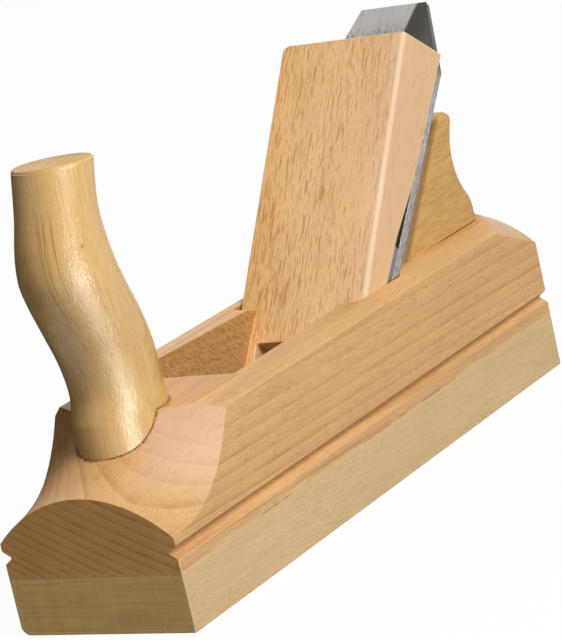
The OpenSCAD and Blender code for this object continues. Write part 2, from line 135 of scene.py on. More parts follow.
# Strip light: narrow and tilted, it stands near the horn and shows in glosses only, as the
# long white streak down the varnish.
HORN_MIDDLE = 93
STRIP_AZIMUTH, STRIP_NEAR, STRIP_FAR = math.radians(60), 85, 360
STRIP_FOOT, STRIP_TOP, STRIP_WIDE, STRIP_WATTS = 4, 231, 70, 0.42


def show_in_glosses_only(thing):
    """Hides a lamp or a card from all but reflections."""
    thing.visible_camera = thing.visible_diffuse = thing.visible_transmission = False


aside = Vector((math.cos(STRIP_AZIMUTH), math.sin(STRIP_AZIMUTH), 0))
foot = Vector((HORN_MIDDLE, 0, STRIP_FOOT)) + aside * STRIP_NEAR
head = Vector((HORN_MIDDLE, 0, STRIP_TOP)) + aside * STRIP_FAR
strip = lamp("strip_light", "RECTANGLE", STRIP_WIDE * MM, (head - foot).length * MM, STRIP_WATTS)
up_it, across_it = (head - foot).normalized(), Vector((0, 0, 1)).cross(aside)
strip.matrix_world = Matrix.Translation((foot + head) / 2 * MM) @ Matrix(
    (across_it, up_it, across_it.cross(up_it))).transposed().to_4x4()
show_in_glosses_only(strip)

# Foot light: small and low, it stands near the horn and shows in glosses only, as the white
# patch at the horn's foot.
FOOT_AZIMUTH, FOOT_AWAY, FOOT_HIGH, FOOT_SIZE, FOOT_WATTS = math.radians(71), 168, 70, 48, 0.12
foot_light = lamp("foot_light", "SQUARE", FOOT_SIZE * MM, FOOT_SIZE * MM, FOOT_WATTS)
foot_away = Vector((math.cos(FOOT_AZIMUTH), math.sin(FOOT_AZIMUTH), 0))
foot_light.location = (Vector((HORN_MIDDLE, 0, FOOT_HIGH)) + foot_away * FOOT_AWAY) * MM
foot_light.rotation_euler = foot_away.to_track_quat("Z", "Y").to_euler()
show_in_glosses_only(foot_light)

# Floor: a plain white table top under the sole. Most of its white is its own, so that
# it stays white to the horizon, and the rest is lit, so that it keeps the shadow.
FLOOR_HALF, FLOOR_DROP = 6.0, 0.05 * MM
FLOOR_OWN_WHITE, FLOOR_PALE, FLOOR_BOUNCE = 0.95, 0.92, 0.35


def bare_material(name):
    """A new material, and its empty node tree."""
    made = bpy.data.materials.new(name)
    made.use_nodes = True
    made.node_tree.nodes.clear()
    return made, made.node_tree


def grey(tree, value):
    """The grey of a value."""
    return add(tree, "CombineColor", dict.fromkeys(range(3), value)).outputs[0]


floor_mesh = bpy.data.meshes.new("floor")
floor_mesh.from_pydata([(x * FLOOR_HALF, y * FLOOR_HALF, 0)
                        for x, y in ((-1, -1), (1, -1), (1, 1), (-1, 1))], [], [(0, 1, 2, 3)])
floor = new_object("floor", floor_mesh)
floor.location.z = -FLOOR_DROP
paint, tree = bare_material("floor_white")
seen = direct_rays(tree)
pale = calc(tree, "MULTIPLY_ADD", seen, FLOOR_PALE - FLOOR_BOUNCE, FLOOR_BOUNCE)
lit = add(tree, "BsdfDiffuse", {"Color": grey(tree, pale)})
own = add(tree, "Emission", {"Color": (1, 1, 1, 1), "Strength": 1})
share = calc(tree, "MULTIPLY", seen, FLOOR_OWN_WHITE)
both = add(tree, "MixShader", {0: share, 1: lit.outputs[0], 2: own.outputs[0]})
add(tree, "OutputMaterial", {"Surface": both.outputs[0]})
floor_mesh.materials.append(paint)

# Black card: a curved sheet standing on the table to the horn's right and behind. It shows
# only in glosses, and keeps the varnish deep where it turns away from the soft box.
CARD_RADIUS, CARD_HEIGHT, CARD_FROM, CARD_TO, CARD_STEPS = 120, 150, -150, -25, 27
CARD_BLACK = (0.02, 0.02, 0.02, 1)
turn = np.radians(np.linspace(CARD_FROM, CARD_TO, CARD_STEPS))
low = np.stack((HORN_MIDDLE + CARD_RADIUS * np.cos(turn), CARD_RADIUS * np.sin(turn),
                np.zeros(CARD_STEPS)), axis=-1)
card_mesh = bpy.data.meshes.new("black_card")
card_mesh.from_pydata((np.concatenate((low, low + (0, 0, CARD_HEIGHT))) * MM).tolist(), [],
                      [(i, i + 1, i + 1 + CARD_STEPS, i + CARD_STEPS)
                       for i in range(CARD_STEPS - 1)])
card = new_object("black_card", card_mesh)
black, tree = bare_material("card_black")
dull = add(tree, "BsdfDiffuse", {"Color": CARD_BLACK})
add(tree, "OutputMaterial", {"Surface": dull.outputs[0]})
card_mesh.materials.append(black)
show_in_glosses_only(card)
card.visible_shadow = False

# Body: one planed block of steamed beech, its grain along the plane and its growth rings
# curving down to the left, sawn and cut for the throat, and hollowed round the horn.
BODY_EASING = 0.3 * MM
BODY_PITH, BODY_PITH_FAR, BODY_GRAIN = (0, 222, 475.5), 474, math.radians(1.2)
BODY_RING, BODY_NARROWING = 4.1, 0.008
BEECH, BEECH_LATE, BEECH_FLECK = (0.72, 0.42, 0.182), (0.56, 0.285, 0.10), (0.40, 0.19, 0.06)
BEECH_ARRIS = (0.74, 0.435, 0.19)
FLAT_WITHIN, SHARP_FROM = math.radians(0.3), math.radians(24)


def merged_copy(node_name, piece_name, weld=0.002):
    """A copy of a CAD node's mesh with the vertices that lie within weld, in millimetres,
    merged, and the triangles of one plane joined."""
    shape = bmesh.new()
    shape.from_mesh(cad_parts[node_name].data)
    layers = shape.loops.layers.float_vector
    for name in list(layers.keys()):
        layers.remove(layers[name])
    bmesh.ops.remove_doubles(shape, verts=shape.verts, dist=weld * MM)
    bmesh.ops.dissolve_limit(shape, angle_limit=FLAT_WITHIN,
                             verts=shape.verts, edges=shape.edges)
    for edge in shape.edges:
        edge.smooth = True
    for face in shape.faces:
        face.smooth = True
        face.material_index = 0
    mesh = bpy.data.meshes.new(piece_name)
    shape.to_mesh(mesh)
    shape.free()
    for name in ("custom_normal", "sharp_face"):
        if name in mesh.attributes:
            mesh.attributes.remove(mesh.attributes[name])
    return new_object(piece_name, mesh)


def weigh_arrises(piece, longer_than, share_of):
    """Marks the arrises to be rounded: the sharp ones longer than a length in millimetres. The
    others stay crisp. share_of gives each its share of the rounding from its two ends."""
    shape = bmesh.new()
    shape.from_mesh(piece.data)
    weights = shape.edges.layers.float.new("bevel_weight_edge")
    for edge in shape.edges:
        if edge.calc_face_angle(0) < SHARP_FROM:
            continue
        share = share_of(*(vertex.co for vertex in edge.verts))
        if edge.calc_length() > longer_than * MM and share > 0:
            edge[weights] = share
        else:
            edge.smooth = False
    shape.to_mesh(piece.data)
    shape.free()


def ease_arrises(piece, width, steps=2, sharper_than=SHARP_FROM, weighted=False):
    """Rounds a piece's arrises. Their faces take the piece's second material."""
    bevel = piece.modifiers.new("eased arrises", "BEVEL")
    bevel.width = width
    bevel.segments = steps
    bevel.limit_method = "WEIGHT" if weighted else "ANGLE"
    bevel.angle_limit = sharper_than
    bevel.use_clamp_overlap = False
    bevel.harden_normals = True
    bevel.miter_outer = "MITER_SHARP"
    bevel.material = 1


def stand_in(piece, node_name, body, slot, *materials):
    """Puts a piece in a CAD node's place, on that node's body and with its finish."""
    for material in materials:
        piece.data.materials.append(material)
    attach(piece, body)
    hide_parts(node_name)


def group(name, inputs, outputs):
    """A shader node group's tree, what it is given and what it gives."""
    tree = bpy.data.node_groups.new(name, "ShaderNodeTree")
    for label, kind, value in inputs:
        made = tree.interface.new_socket(label, in_out="INPUT", socket_type="NodeSocket" + kind)
        if value is not None:
            made.default_value = value
    for label in outputs:
        tree.interface.new_socket(label, in_out="OUTPUT", socket_type="NodeSocketFloat")
    given, out = tree.nodes.new("NodeGroupInput"), tree.nodes.new("NodeGroupOutput")
    return tree, given.outputs, out.inputs


def product(tree, first, *others):
    """Values multiplied together."""
    for other in others:
        first = calc(tree, "MULTIPLY", first, other)
    return first


def rest_of(tree, share):
    """One less a share."""
    return calc(tree, "SUBTRACT", 1, share)


def gap(tree, a, b):
    """How far apart two values are."""
    return calc(tree, "ABSOLUTE", calc(tree, "SUBTRACT", a, b))


def distance(tree, a, b):
    """The root of two values' squares added."""
    return calc(tree, "SQRT", calc(tree, "ADD", product(tree, a, a), product(tree, b, b)))


def ramp(tree, value, low, high, to_low=0.0, to_high=1.0):
    """A smooth step of a value from low to high."""
    return add(tree, "MapRange", {"Value": value, "From Min": low, "From Max": high,
                                  "To Min": to_low, "To Max": to_high},
               interpolation_type="SMOOTHSTEP").outputs["Result"]


def noise(tree, place, scale, detail=2.0, rough=0.5):
    """A noise, from 0 to 1, on a place stretched by three scales."""
    stretched = add(tree, "VectorMath", {0: place, 1: scale}, operation="MULTIPLY").outputs[0]
    return add(tree, "TexNoise", {"Vector": stretched, "Scale": 1, "Detail": detail,
                                  "Roughness": rough}).outputs["Fac"]


def strayed(tree, value, span, place, scale, detail, rough=0.5):
    """A value made to wander by noise, half a span to either side."""
    off = calc(tree, "MULTIPLY_ADD", noise(tree, place, scale, detail, rough), span, -span / 2)
    return calc(tree, "ADD", value, off)


def apart(tree, vector):
    """A vector's X, Y and Z."""
    return add(tree, "SeparateXYZ", {0: vector}).outputs


# Timber works in millimetres, with X along the grain and the pith at the origin, the
# piece on the side of minus Z. It gives growth rings, ray flecks, fibres and clouds. Dashes
# and rays are noises stretched by three scales, each from one level of its noise to another.
LATE_FROM, LATE_FULL, RING_ENDS = 0.35, 0.94, 0.95
DASHES, DASH_FROM, DASH_FULL = (0.2, 2.4, 2.4), 0.755, 0.82
FINE_DASHES, FINE_FROM, FINE_FULL, FINE_SHARE = (0.45, 4, 4), 0.75, 0.83, 0.6
RAYS, RAY_FROM, RAY_FULL = (0.3, 2.8, 0.16), 0.6, 0.67
tree, given, out = group("timber", (
    ("Place", "Vector", None), ("Ring width", "Float", 4), ("Narrowing", "Float", 0),
    ("Waver", "Float", 3), ("Pith distance", "Float", 70), ("Fleck size", "Float", 1)),
    ("Ring", "Edge", "Fleck", "Ray", "Fibre", "Cloud"))
place, waver, pith_away = given["Place"], given["Waver"], given["Pith distance"]
along, across, below = apart(tree, place)
radius = distance(tree, across, below)
slow = calc(tree, "SUBTRACT", noise(tree, place, (0.006, 0.022, 0.022)), 0.5)
quick = calc(tree, "SUBTRACT", noise(tree, place, (0.03, 0.2, 0.2)), 0.5)
bent = calc(tree, "MULTIPLY_ADD", slow, product(tree, waver, 2),
            calc(tree, "MULTIPLY_ADD", quick, waver, radius))
deep = calc(tree, "SUBTRACT", bent, pith_away)
count = product(tree, calc(tree, "DIVIDE", deep, given["Ring width"]),
                calc(tree, "MULTIPLY_ADD", deep, given["Narrowing"], 1))
within = calc(tree, "FRACT", count)
own = add(tree, "TexWhiteNoise", {"W": calc(tree, "FLOOR", count)},
          noise_dimensions="1D").outputs["Value"]
broken = ramp(tree, noise(tree, place, (0.02, 0.25, 0.25)), 0.35, 0.62, 0.35, 1)
late = product(tree, calc(tree, "POWER", ramp(tree, within, LATE_FROM, LATE_FULL), 2),
               ramp(tree, within, RING_ENDS, 1, 1, 0), broken)
crowd = product(tree, noise(tree, place, (0.02, 0.06, 0.06), 1), 0.3)
scaled = add(tree, "VectorMath", {0: place, 3: given["Fleck size"]},
             operation="SCALE").outputs[0]
dashes = ramp(tree, calc(tree, "ADD", crowd, noise(tree, scaled, DASHES, 0.5)),
              DASH_FROM, DASH_FULL)
fine_dashes = ramp(tree, calc(tree, "ADD", crowd, noise(tree, scaled, FINE_DASHES, 0)),
                   FINE_FROM, FINE_FULL)
turned = product(tree, calc(tree, "ARCTAN2", across, product(tree, below, -1)), pith_away)
radial = add(tree, "CombineXYZ", {0: along, 1: turned, 2: radius}).outputs[0]
for label, value in (
        ("Ring", product(tree, late, calc(tree, "MULTIPLY_ADD", own, 0.5, 0.5))),
        ("Edge", product(tree, ramp(tree, within, 0, 0.06),
                         ramp(tree, within, 0.08, 0.3, 1, 0))),
        ("Fleck", calc(tree, "MAXIMUM", dashes, product(tree, fine_dashes, FINE_SHARE))),
        ("Ray", ramp(tree, noise(tree, radial, RAYS, 0.5), RAY_FROM, RAY_FULL)),
        ("Fibre", noise(tree, place, (0.06, 2.4, 2.4), 3, 0.65)),
        ("Cloud", noise(tree, place, (0.014, 0.06, 0.06), 2))):
    tree.links.new(value, out[label])

# Cut across gives how squarely a face cuts across the grain: 0 along it, 1 on end grain
tree, given, out = group("cut_across", (("Grain", "Vector", (1, 0, 0)),), ("Slant", "End"))
facing = add(tree, "TexCoord").outputs["Normal"]
lean = calc(tree, "ABSOLUTE", add(tree, "VectorMath", {0: facing, 1: given["Grain"]},
                                  operation="DOT_PRODUCT").outputs["Value"])
tree.links.new(ramp(tree, lean, 0.15, 0.6), out["Slant"])
tree.links.new(ramp(tree, lean, 0.75, 0.97), out["End"])


def use(tree, name, wires):
    """One use of a node group."""
    return add(tree, "Group", wires, node_tree=bpy.data.node_groups[name]).outputs


def mix(tree, factor, a, b, blend="MIX"):
    """One colour mixed into another by a factor."""
    a, b = ((*colour, 1) if isinstance(colour, tuple) else colour for colour in (a, b))
    return add(tree, "Mix", {0: factor, 6: a, 7: b}, data_type="RGBA",
               blend_type=blend).outputs[2]


def stained_or_shaded(tree, share, colour, stain_or_shade):
    """A colour multiplied by another, by a share: a stain or tint, or painted shade."""
    return mix(tree, share, colour, stain_or_shade, "MULTIPLY")


def shaded(tree, colour, shade):
    """A colour multiplied by a grey value."""
    return stained_or_shaded(tree, 1, colour, grey(tree, shade))


def place_mm(tree):
    """A piece's own coordinates, in millimetres."""
    return add(tree, "VectorMath", {0: add(tree, "TexCoord").outputs["Object"], 3: 1 / MM},
               operation="SCALE").outputs[0]


def wood(name, pith, ring, colours, pith_far=None, narrowing=0.0, turn=0.0, waver=3.0,
         fleck_size=1.0, rings=0.6, flecks=0.5, rays=0.4, fibres=0.2, gloss=0.55, sheen=0.25,
         coat=0.0, coat_rough=0.2, end_rings=0.3, end_tint=(0.80, 0.73, 0.58), relief=0.6,
         extra=None, where=None):
    """A timber's material: early, late and fleck colours laid by its rings, rays and fibres, on
    the piece's own coordinates or the attribute that where names. End grain drinks the coat."""
    early, late_colour, fleck_colour = colours
    made, tree = bare_material(name)
    start = add(tree, "Attribute", attribute_name=where).outputs["Vector"] if where \
        else place_mm(tree)
    placed = add(tree, "Mapping", {"Vector": start, "Rotation": (0, turn, 0),
                                   "Location": tuple(-p for p in pith)}).outputs[0]
    grain = use(tree, "timber", {
        "Place": placed, "Ring width": ring, "Narrowing": narrowing, "Waver": waver,
        "Pith distance": pith_far or math.hypot(pith[1], pith[2]), "Fleck size": fleck_size})
    axis = (0, 0, 1) if where else (math.cos(turn), 0, math.sin(turn))
    cut = use(tree, "cut_across", {"Grain": axis})
    colour = mix(tree, product(tree, grain["Ring"], rings), early, late_colour)
    light = ramp(tree, grain["Cloud"], 0.3, 0.7, 0.94, 1.05)
    fine = ramp(tree, grain["Fibre"], 0.25, 0.75, 1 - fibres, 1 + 0.35 * fibres)
    edge = calc(tree, "MULTIPLY_ADD", grain["Edge"], 0.05 * rings, 1)
    colour = shaded(tree, colour, product(tree, light, fine, edge))
    colour = stained_or_shaded(tree, cut["End"], colour, end_tint)
    ended = product(tree, cut["End"], calc(
        tree, "SUBTRACT", product(tree, grain["Edge"], 0.12), grain["Ring"]))
    colour = shaded(tree, colour, calc(tree, "MULTIPLY_ADD", ended, end_rings, 1))
    dotted = product(tree, grain["Fleck"], rest_of(tree, cut["Slant"]), flecks)
    colour = mix(tree, dotted, colour, fleck_colour)
    lined = product(tree, grain["Ray"], calc(
        tree, "MULTIPLY_ADD", cut["End"], -0.6, cut["Slant"]), rays)
    colour = mix(tree, lined, colour, fleck_colour)
    if extra:
        colour = extra(tree, placed, colour)
    height = calc(tree, "SUBTRACT", grain["Fibre"], product(tree, grain["Fleck"], 0.8))
    bump = add(tree, "Bump", {"Strength": relief, "Distance": 0.06 * MM, "Height": height})
    rough = ramp(tree, grain["Fibre"], 0.2, 0.8, gloss - 0.06, gloss + 0.08)
    if coat:
        coat, sheen = (calc(tree, "MULTIPLY_ADD", cut["End"], -0.85 * full, full)
                       for full in (coat, sheen))
    skin = add(tree, "BsdfPrincipled", {
        "Base Color": colour, "Roughness": rough, "Normal": bump.outputs[0],
        "Coat Weight": coat, "Coat Roughness": coat_rough, "Specular IOR Level": sheen})
    add(tree, "OutputMaterial", {"Surface": skin.outputs[0]})
    return made


HORN_X, HORN_ASIDE, HORN_FOOT_L, HORN_FOOT_W = 88.6, -0.5, 31.4, 26.2
GLUE_DARK, CHIPPED_BROWN = (0.14, 0.07, 0.025), (0.42, 0.23, 0.09)


def horn_joint(tree, placed, colour):
    """A ragged dark line where the horn enters the body, and chipped brown outside it: the
    distance from its oval foot, less a noise."""
    along, across, _ = apart(tree, place_mm(tree))
    ahead = calc(tree, "SUBTRACT", gap(tree, along, HORN_X), (HORN_FOOT_L - HORN_FOOT_W) / 2)
    out_by = distance(tree, calc(tree, "MAXIMUM", ahead, 0),
                      calc(tree, "SUBTRACT", across, HORN_ASIDE))
    ragged = calc(tree, "MULTIPLY_ADD", noise(tree, placed, (0.7, 0.7, 0.7), 3, 0.75), 2.6,
                  HORN_FOOT_W / 2 - 0.95)
    out_by = calc(tree, "SUBTRACT", out_by, ragged)
    colour = mix(tree, ramp(tree, out_by, 0.2, 0.7, 0.6, 0), colour, CHIPPED_BROWN)
    return mix(tree, ramp(tree, out_by, 0.0, 0.3, 0.85, 0), colour, GLUE_DARK)


BODY_TOP, FACET_FROM, FACET_FALL = 57.0, 21.0, 0.32
THROAT_FROM, THROAT_TO, THROAT_MIDDLE, THROAT_HALF = -51.5, 57.0, -0.85, 21.3
SLOTS_MIDDLE, SLOTS_HALF, SLOT_DEPTH = -0.4, 24.0, 3.0
# The slots' dark and the cheeks' brown are painted shade in the throat's recesses.
SLOT_PAINTED_SHADE, CHEEK_PAINTED_SHADE, CHEEK_DASH = (0.30, 0.17, 0.065), (0.46, 0.225, 0.06), (0.27, 0.12, 0.035)
CHEEK_SAWN = math.radians(38)


def throat_marks(tree, at, colour, slant):
    """Under the body's top, between the slots' walls: rough dark dashes, slanting down, on the
    throat's cheeks, browned by painted shade, and painted shade in the wedge's slots beyond
    the cheeks."""
    along, across, up = apart(tree, at)
    past_facet = calc(tree, "MAXIMUM", calc(tree, "SUBTRACT", across, FACET_FROM), 0)
    from_top = calc(tree, "MULTIPLY_ADD", past_facet, FACET_FALL, up)
    off_slots, off_throat = (gap(tree, across, y) for y in (SLOTS_MIDDLE, THROAT_MIDDLE))
    deep = product(tree, ramp(tree, from_top, BODY_TOP - 0.6, BODY_TOP - 0.4, 1, 0),
                   ramp(tree, along, THROAT_FROM - 0.5, THROAT_FROM),
                   ramp(tree, along, THROAT_TO, THROAT_TO + 0.5, 1, 0),
                   ramp(tree, off_slots, SLOTS_HALF, SLOTS_HALF + 0.3, 1, 0))
    sloping = product(tree, slant, ramp(tree, off_throat, THROAT_HALF - SLOT_DEPTH,
                                        THROAT_HALF - SLOT_DEPTH + 0.1))
    slots = product(tree, deep, calc(
        tree, "MAXIMUM", ramp(tree, off_throat, THROAT_HALF, THROAT_HALF + 0.1), sloping))
    # Painted shade in the wedge's slots.
    colour = mix(tree, product(tree, slots, 0.85), colour, SLOT_PAINTED_SHADE)
    inside = product(tree, deep, rest_of(tree, slant))
    sawn = add(tree, "Mapping", {"Vector": at, "Rotation": (0, CHEEK_SAWN, 0)}).outputs[0]
    rough_dashes = ramp(tree, noise(tree, sawn, (0.42, 2.3, 2.3), 1.5), 0.48, 0.62)
    # Painted shade browns the cheeks; the dashes are their own rough marks.
    colour = mix(tree, product(tree, inside, 0.6), colour, CHEEK_PAINTED_SHADE)
    return mix(tree, product(tree, inside, rough_dashes, 0.6), colour, CHEEK_DASH)


JOINT_Z, JOINT_PALE, JOINT_BROWN = 18.4, (0.72, 0.50, 0.26), (0.33, 0.17, 0.06)


def joint_marks(tree, at, colour, slant):
    """On the long sides, the wandering edge of the hornbeam's paleness along the joint, and a
    thin brown line that comes and goes above it."""
    up, plain = apart(tree, at)[2], rest_of(tree, slant)
    edge = strayed(tree, up, 5, at, (0.035, 0.02, 0.3), 3)
    pale = product(tree, ramp(tree, edge, JOINT_Z, JOINT_Z + 0.8, 0.85, 0), plain)
    colour = mix(tree, pale, colour, JOINT_PALE)
    ragged = strayed(tree, up, 1.6, at, (0.3, 0.1, 2.2), 3, 0.6)
    off = gap(tree, ragged, JOINT_Z + 0.3)
    line = product(tree, ramp(tree, off, 0.1, 0.3, 1, 0), plain,
                   ramp(tree, noise(tree, at, (0.05, 0.02, 0.02), 1), 0.5, 0.58, 0, 0.7))
    return mix(tree, line, colour, JOINT_BROWN)


HOLLOW_X, HEEL_CUT_X = 60.0, -98.0
HOLLOW_PINK, HEEL_PALE = (0.78, 0.49, 0.34), (0.66, 0.56, 0.49)
# The top's and the hollow's brown are painted shade; the orange is the wood's own tone.
TOP_PAINTED_SHADE, ORANGE_STAIN, HOLLOW_PAINTED_SHADE = (0.88, 0.75, 0.50), (0.98, 0.91, 0.74), (0.52, 0.46, 0.40)


def ends_marks(tree, at, colour, slant):
    """The flat top is browner before and behind the throat, painted shade that offsets its grazing
    gloss. The hollow goes from brown at its right, painted shade, over orange to pink at its
    left, by a wandering edge, and the heel's arch is pale."""
    along, across, up = apart(tree, at)
    flat_top = product(tree, ramp(tree, up, BODY_TOP - 0.5, BODY_TOP - 0.3), calc(
        tree, "MAXIMUM", ramp(tree, along, THROAT_TO + 0.5, THROAT_TO + 1.5),
        ramp(tree, along, -70, -60, 0.6, 0)))
    # Painted shade on the flat top.
    colour = stained_or_shaded(tree, flat_top, colour, TOP_PAINTED_SHADE)
    hollow = product(tree, slant, ramp(tree, along, HOLLOW_X, HOLLOW_X + 4))
    reach = strayed(tree, across, 10, at, (0.02, 0.1, 0.1), 2)
    pink = product(tree, hollow, ramp(tree, reach, 3, 17, 0, 0.55))
    colour = mix(tree, pink, colour, HOLLOW_PINK)
    orange = product(tree, hollow, ramp(tree, reach, 5, 14, 0.9, 0))
    colour = stained_or_shaded(tree, orange, colour, ORANGE_STAIN)
    # Painted shade on the hollow's right, which turns away from the soft box.
    brown = product(tree, hollow, ramp(tree, along, 90, 112, 1, 0.2),
                    ramp(tree, reach, -19, -9, 0.75, 0))
    colour = stained_or_shaded(tree, brown, colour, HOLLOW_PAINTED_SHADE)
    heel = product(tree, slant, ramp(tree, along, HEEL_CUT_X - 1, HEEL_CUT_X, 0.8, 0))
    return mix(tree, heel, colour, HEEL_PALE)


def beech_marks(tree, placed, colour):
    """The block's marks in the throat, on the joint, at the ends and round the horn."""
    at = place_mm(tree)
    cut = use(tree, "cut_across", {"Grain": (1, 0, 0)})
    colour = throat_marks(tree, at, colour, cut["Slant"])
    colour = joint_marks(tree, at, colour, cut["Slant"])
    colour = ends_marks(tree, at, colour, calc(tree, "SUBTRACT", cut["Slant"], cut["End"]))
    return horn_joint(tree, placed, colour)


def body_rounding(first, second):
    """Every arris is rounded but the hollow's edge and the edges of the joint."""
    low, high = sorted((first.z / MM, second.z / MM))
    in_joint = low > 17.2 and high < 18.9
    in_hollow = min(first.x, second.x) > HOLLOW_X * MM and high - low > 0.01 and low > 26
    return 0.0 if in_joint or in_hollow else 1.0


beech_grain = {"pith_far": BODY_PITH_FAR, "narrowing": BODY_NARROWING, "turn": BODY_GRAIN,
               "waver": 0.5, "end_tint": (0.84, 0.77, 0.56)}
body = merged_copy("body", "beech_body", weld=0.02)
weigh_arrises(body, 3.0, body_rounding)
ease_arrises(body, BODY_EASING, weighted=True)
stand_in(body, "body", "stock", "beech",
         wood("beech_planed", BODY_PITH, BODY_RING, (BEECH, BEECH_LATE, BEECH_FLECK),
              rings=0.95, flecks=0.3, rays=0.65, fibres=0.09, end_rings=0.16,
              extra=beech_marks, **beech_grain),
         wood("beech_arris", BODY_PITH, BODY_RING, (BEECH_ARRIS, BEECH, BEECH_LATE),
              rings=0.5, flecks=0.3, fibres=0.1, gloss=0.5, extra=horn_joint, **beech_grain))

# Sole: a plank of hornbeam, paler and greener than the beech, its edge and face planed,
# glued under the body with teeth that show at both ends.
SOLE_EASING, SOLE_T = 0.3 * MM, 17.3
SOLE_PITH, SOLE_RING, SOLE_GRAIN = (0, -60, 95), 5.5, math.radians(2.8)
SOLE_PALE, SOLE_LATE, SOLE_FLECK = (0.71, 0.50, 0.262), (0.61, 0.40, 0.185), (0.47, 0.29, 0.12)
SOLE_ARRIS, TEETH_BROWN = (0.74, 0.54, 0.30), (0.60, 0.345, 0.14)


def toothed_joint(tree, placed, colour):
    """Above the glue line the teeth show the body's brown, by a wandering edge on the long
    sides. The ends have fine level lines and broad upright ones."""
    at = place_mm(tree)
    rise = apart(tree, at)[2]
    at_ends = use(tree, "cut_across", {"Grain": (1, 0, 0)})["End"]
    edge = strayed(tree, rise, 5, placed, (0.04, 0.02, 0.3), 3)
    brown = calc(tree, "MAXIMUM",
                 product(tree, ramp(tree, rise, SOLE_T, SOLE_T + 0.1), at_ends),
                 product(tree, ramp(tree, edge, SOLE_T + 0.6, SOLE_T + 1.2),
                         rest_of(tree, at_ends)))
    lines = product(
        tree, ramp(tree, noise(tree, at, (1, 0.035, 1.5), 2, 0.6), 0.3, 0.7, 0.87, 1.08),
        ramp(tree, noise(tree, at, (1, 0.4, 0.02), 2), 0.3, 0.7, 0.95, 1.04))
    lines = calc(tree, "MULTIPLY_ADD", calc(tree, "SUBTRACT", lines, 1), at_ends, 1)
    colour = mix(tree, product(tree, brown, 0.75), colour, TEETH_BROWN)
    return shaded(tree, colour, lines)


def sole_rounding(first, second):
    """The joint's edges stay crisp."""
    return 0.0 if min(first.z, second.z) > (SOLE_T - 0.1) * MM else 1.0


sole = merged_copy("sole", "hornbeam_sole")
weigh_arrises(sole, 0.05, sole_rounding)
ease_arrises(sole, SOLE_EASING, weighted=True)
stand_in(sole, "sole", "stock", "hornbeam_sole",
         wood("hornbeam_planed", SOLE_PITH, SOLE_RING, (SOLE_PALE, SOLE_LATE, SOLE_FLECK),
              turn=SOLE_GRAIN, fleck_size=1.2, rings=0.25, flecks=0.3, fibres=0.1,
              end_rings=0.0, end_tint=(0.98, 0.90, 0.64), extra=toothed_joint),
         wood("hornbeam_arris", SOLE_PITH, SOLE_RING, (SOLE_ARRIS, SOLE_PALE, SOLE_LATE),
              turn=SOLE_GRAIN, rings=0.2, flecks=0.2, gloss=0.5, extra=toothed_joint))

# Horn: turned and rasped from one piece of hornbeam, bent forwards at the swell, and
# varnished. Its foot is glued in an oval socket in the body.
HORN_RISE, HORN_DEPTH, HORN_TOP_TILT, HORN_EDGE_R, NECK = 76.2, 21.0, math.radians(3), 0.9, 0.7
HORN_STATIONS = np.array([
    # share of the rise, lean ahead, width, length
    [0.000, 0.0, HORN_FOOT_W, HORN_FOOT_L],
    [0.105, -0.564, 26.2, 28.2], [0.235, 0.282, 27.1, 29.1],
    [0.366, 3.384, 28.0, 30.0], [0.497, 7.238, 28.0, 30.0], [0.588, 9.212, 27.8, 29.4],
    [0.693, 9.4, 26.2, 27.4], [0.824, 7.704, 24.0, 24.6], [1.000, 4.1, 23.8, 24.2]])
BRIM_STEPS = 9
HORN_PITH, HORN_RING, GRAIN_FOLLOWS = (0, 22, 60), 5, 0.45
HORN_PALE, HORN_LATE, HORN_FLECK = (0.74, 0.465, 0.165), (0.65, 0.38, 0.115), (0.50, 0.28, 0.07)
HORN_WARM, HORN_BROWN, STREAK_BROWN = (0.66, 0.39, 0.105), (0.62, 0.36, 0.085), (0.40, 0.19, 0.025)
STREAK_AT, STREAK_LEAN, SPECK_AT, SPECK_DARK = 14.3, 0.09, (110.6, 11.4, 11.3), (0.20, 0.10, 0.03)


def through_stations(table, share):
    """A smooth curve through each column of a table: cubic between rows, its slope at each
    row the slope between the rows on either side."""
    at = table[:, 0]
    rows = np.arange(len(at))
    before, after = np.maximum(rows - 1, 0), np.minimum(rows + 1, len(at) - 1)
    slope = (table[after] - table[before]) / (at[after] - at[before])[:, None]
    i = np.clip(np.searchsorted(at, share, side="right") - 1, 0, len(at) - 2)
    d = (at[i + 1] - at[i])[:, None]
    v = (share - at[i])[:, None] / d
    return ((2 * v ** 3 - 3 * v ** 2 + 1) * table[i] + (v ** 3 - 2 * v ** 2 + v) * d * slope[i]
            + (3 * v ** 2 - 2 * v ** 3) * table[i + 1] + (v ** 3 - v ** 2) * d * slope[i + 1])


def closed_loft(name, rings):
    """A closed mesh through rings of points, an array of rows by columns by three, with
    quads between the rings and one face over each end."""
    rows, columns, _ = rings.shape
    number = np.arange(rows * columns).reshape(rows, columns)
    beside = np.roll(number, -1, axis=1)
    walls = np.stack((number[:-1], beside[:-1], beside[1:], number[1:]), axis=-1).reshape(-1, 4)
    faces = [*walls.tolist(), number[0, ::-1].tolist(), number[-1].tolist()]
    mesh = bpy.data.meshes.new(name)
    mesh.from_pydata((rings.reshape(-1, 3) * MM).tolist(), [], faces)
    mesh.polygons.foreach_set("use_smooth", np.ones(len(faces), dtype=bool))
    mesh.set_sharp_from_angle(angle=math.radians(35))
    return new_object(name, mesh)


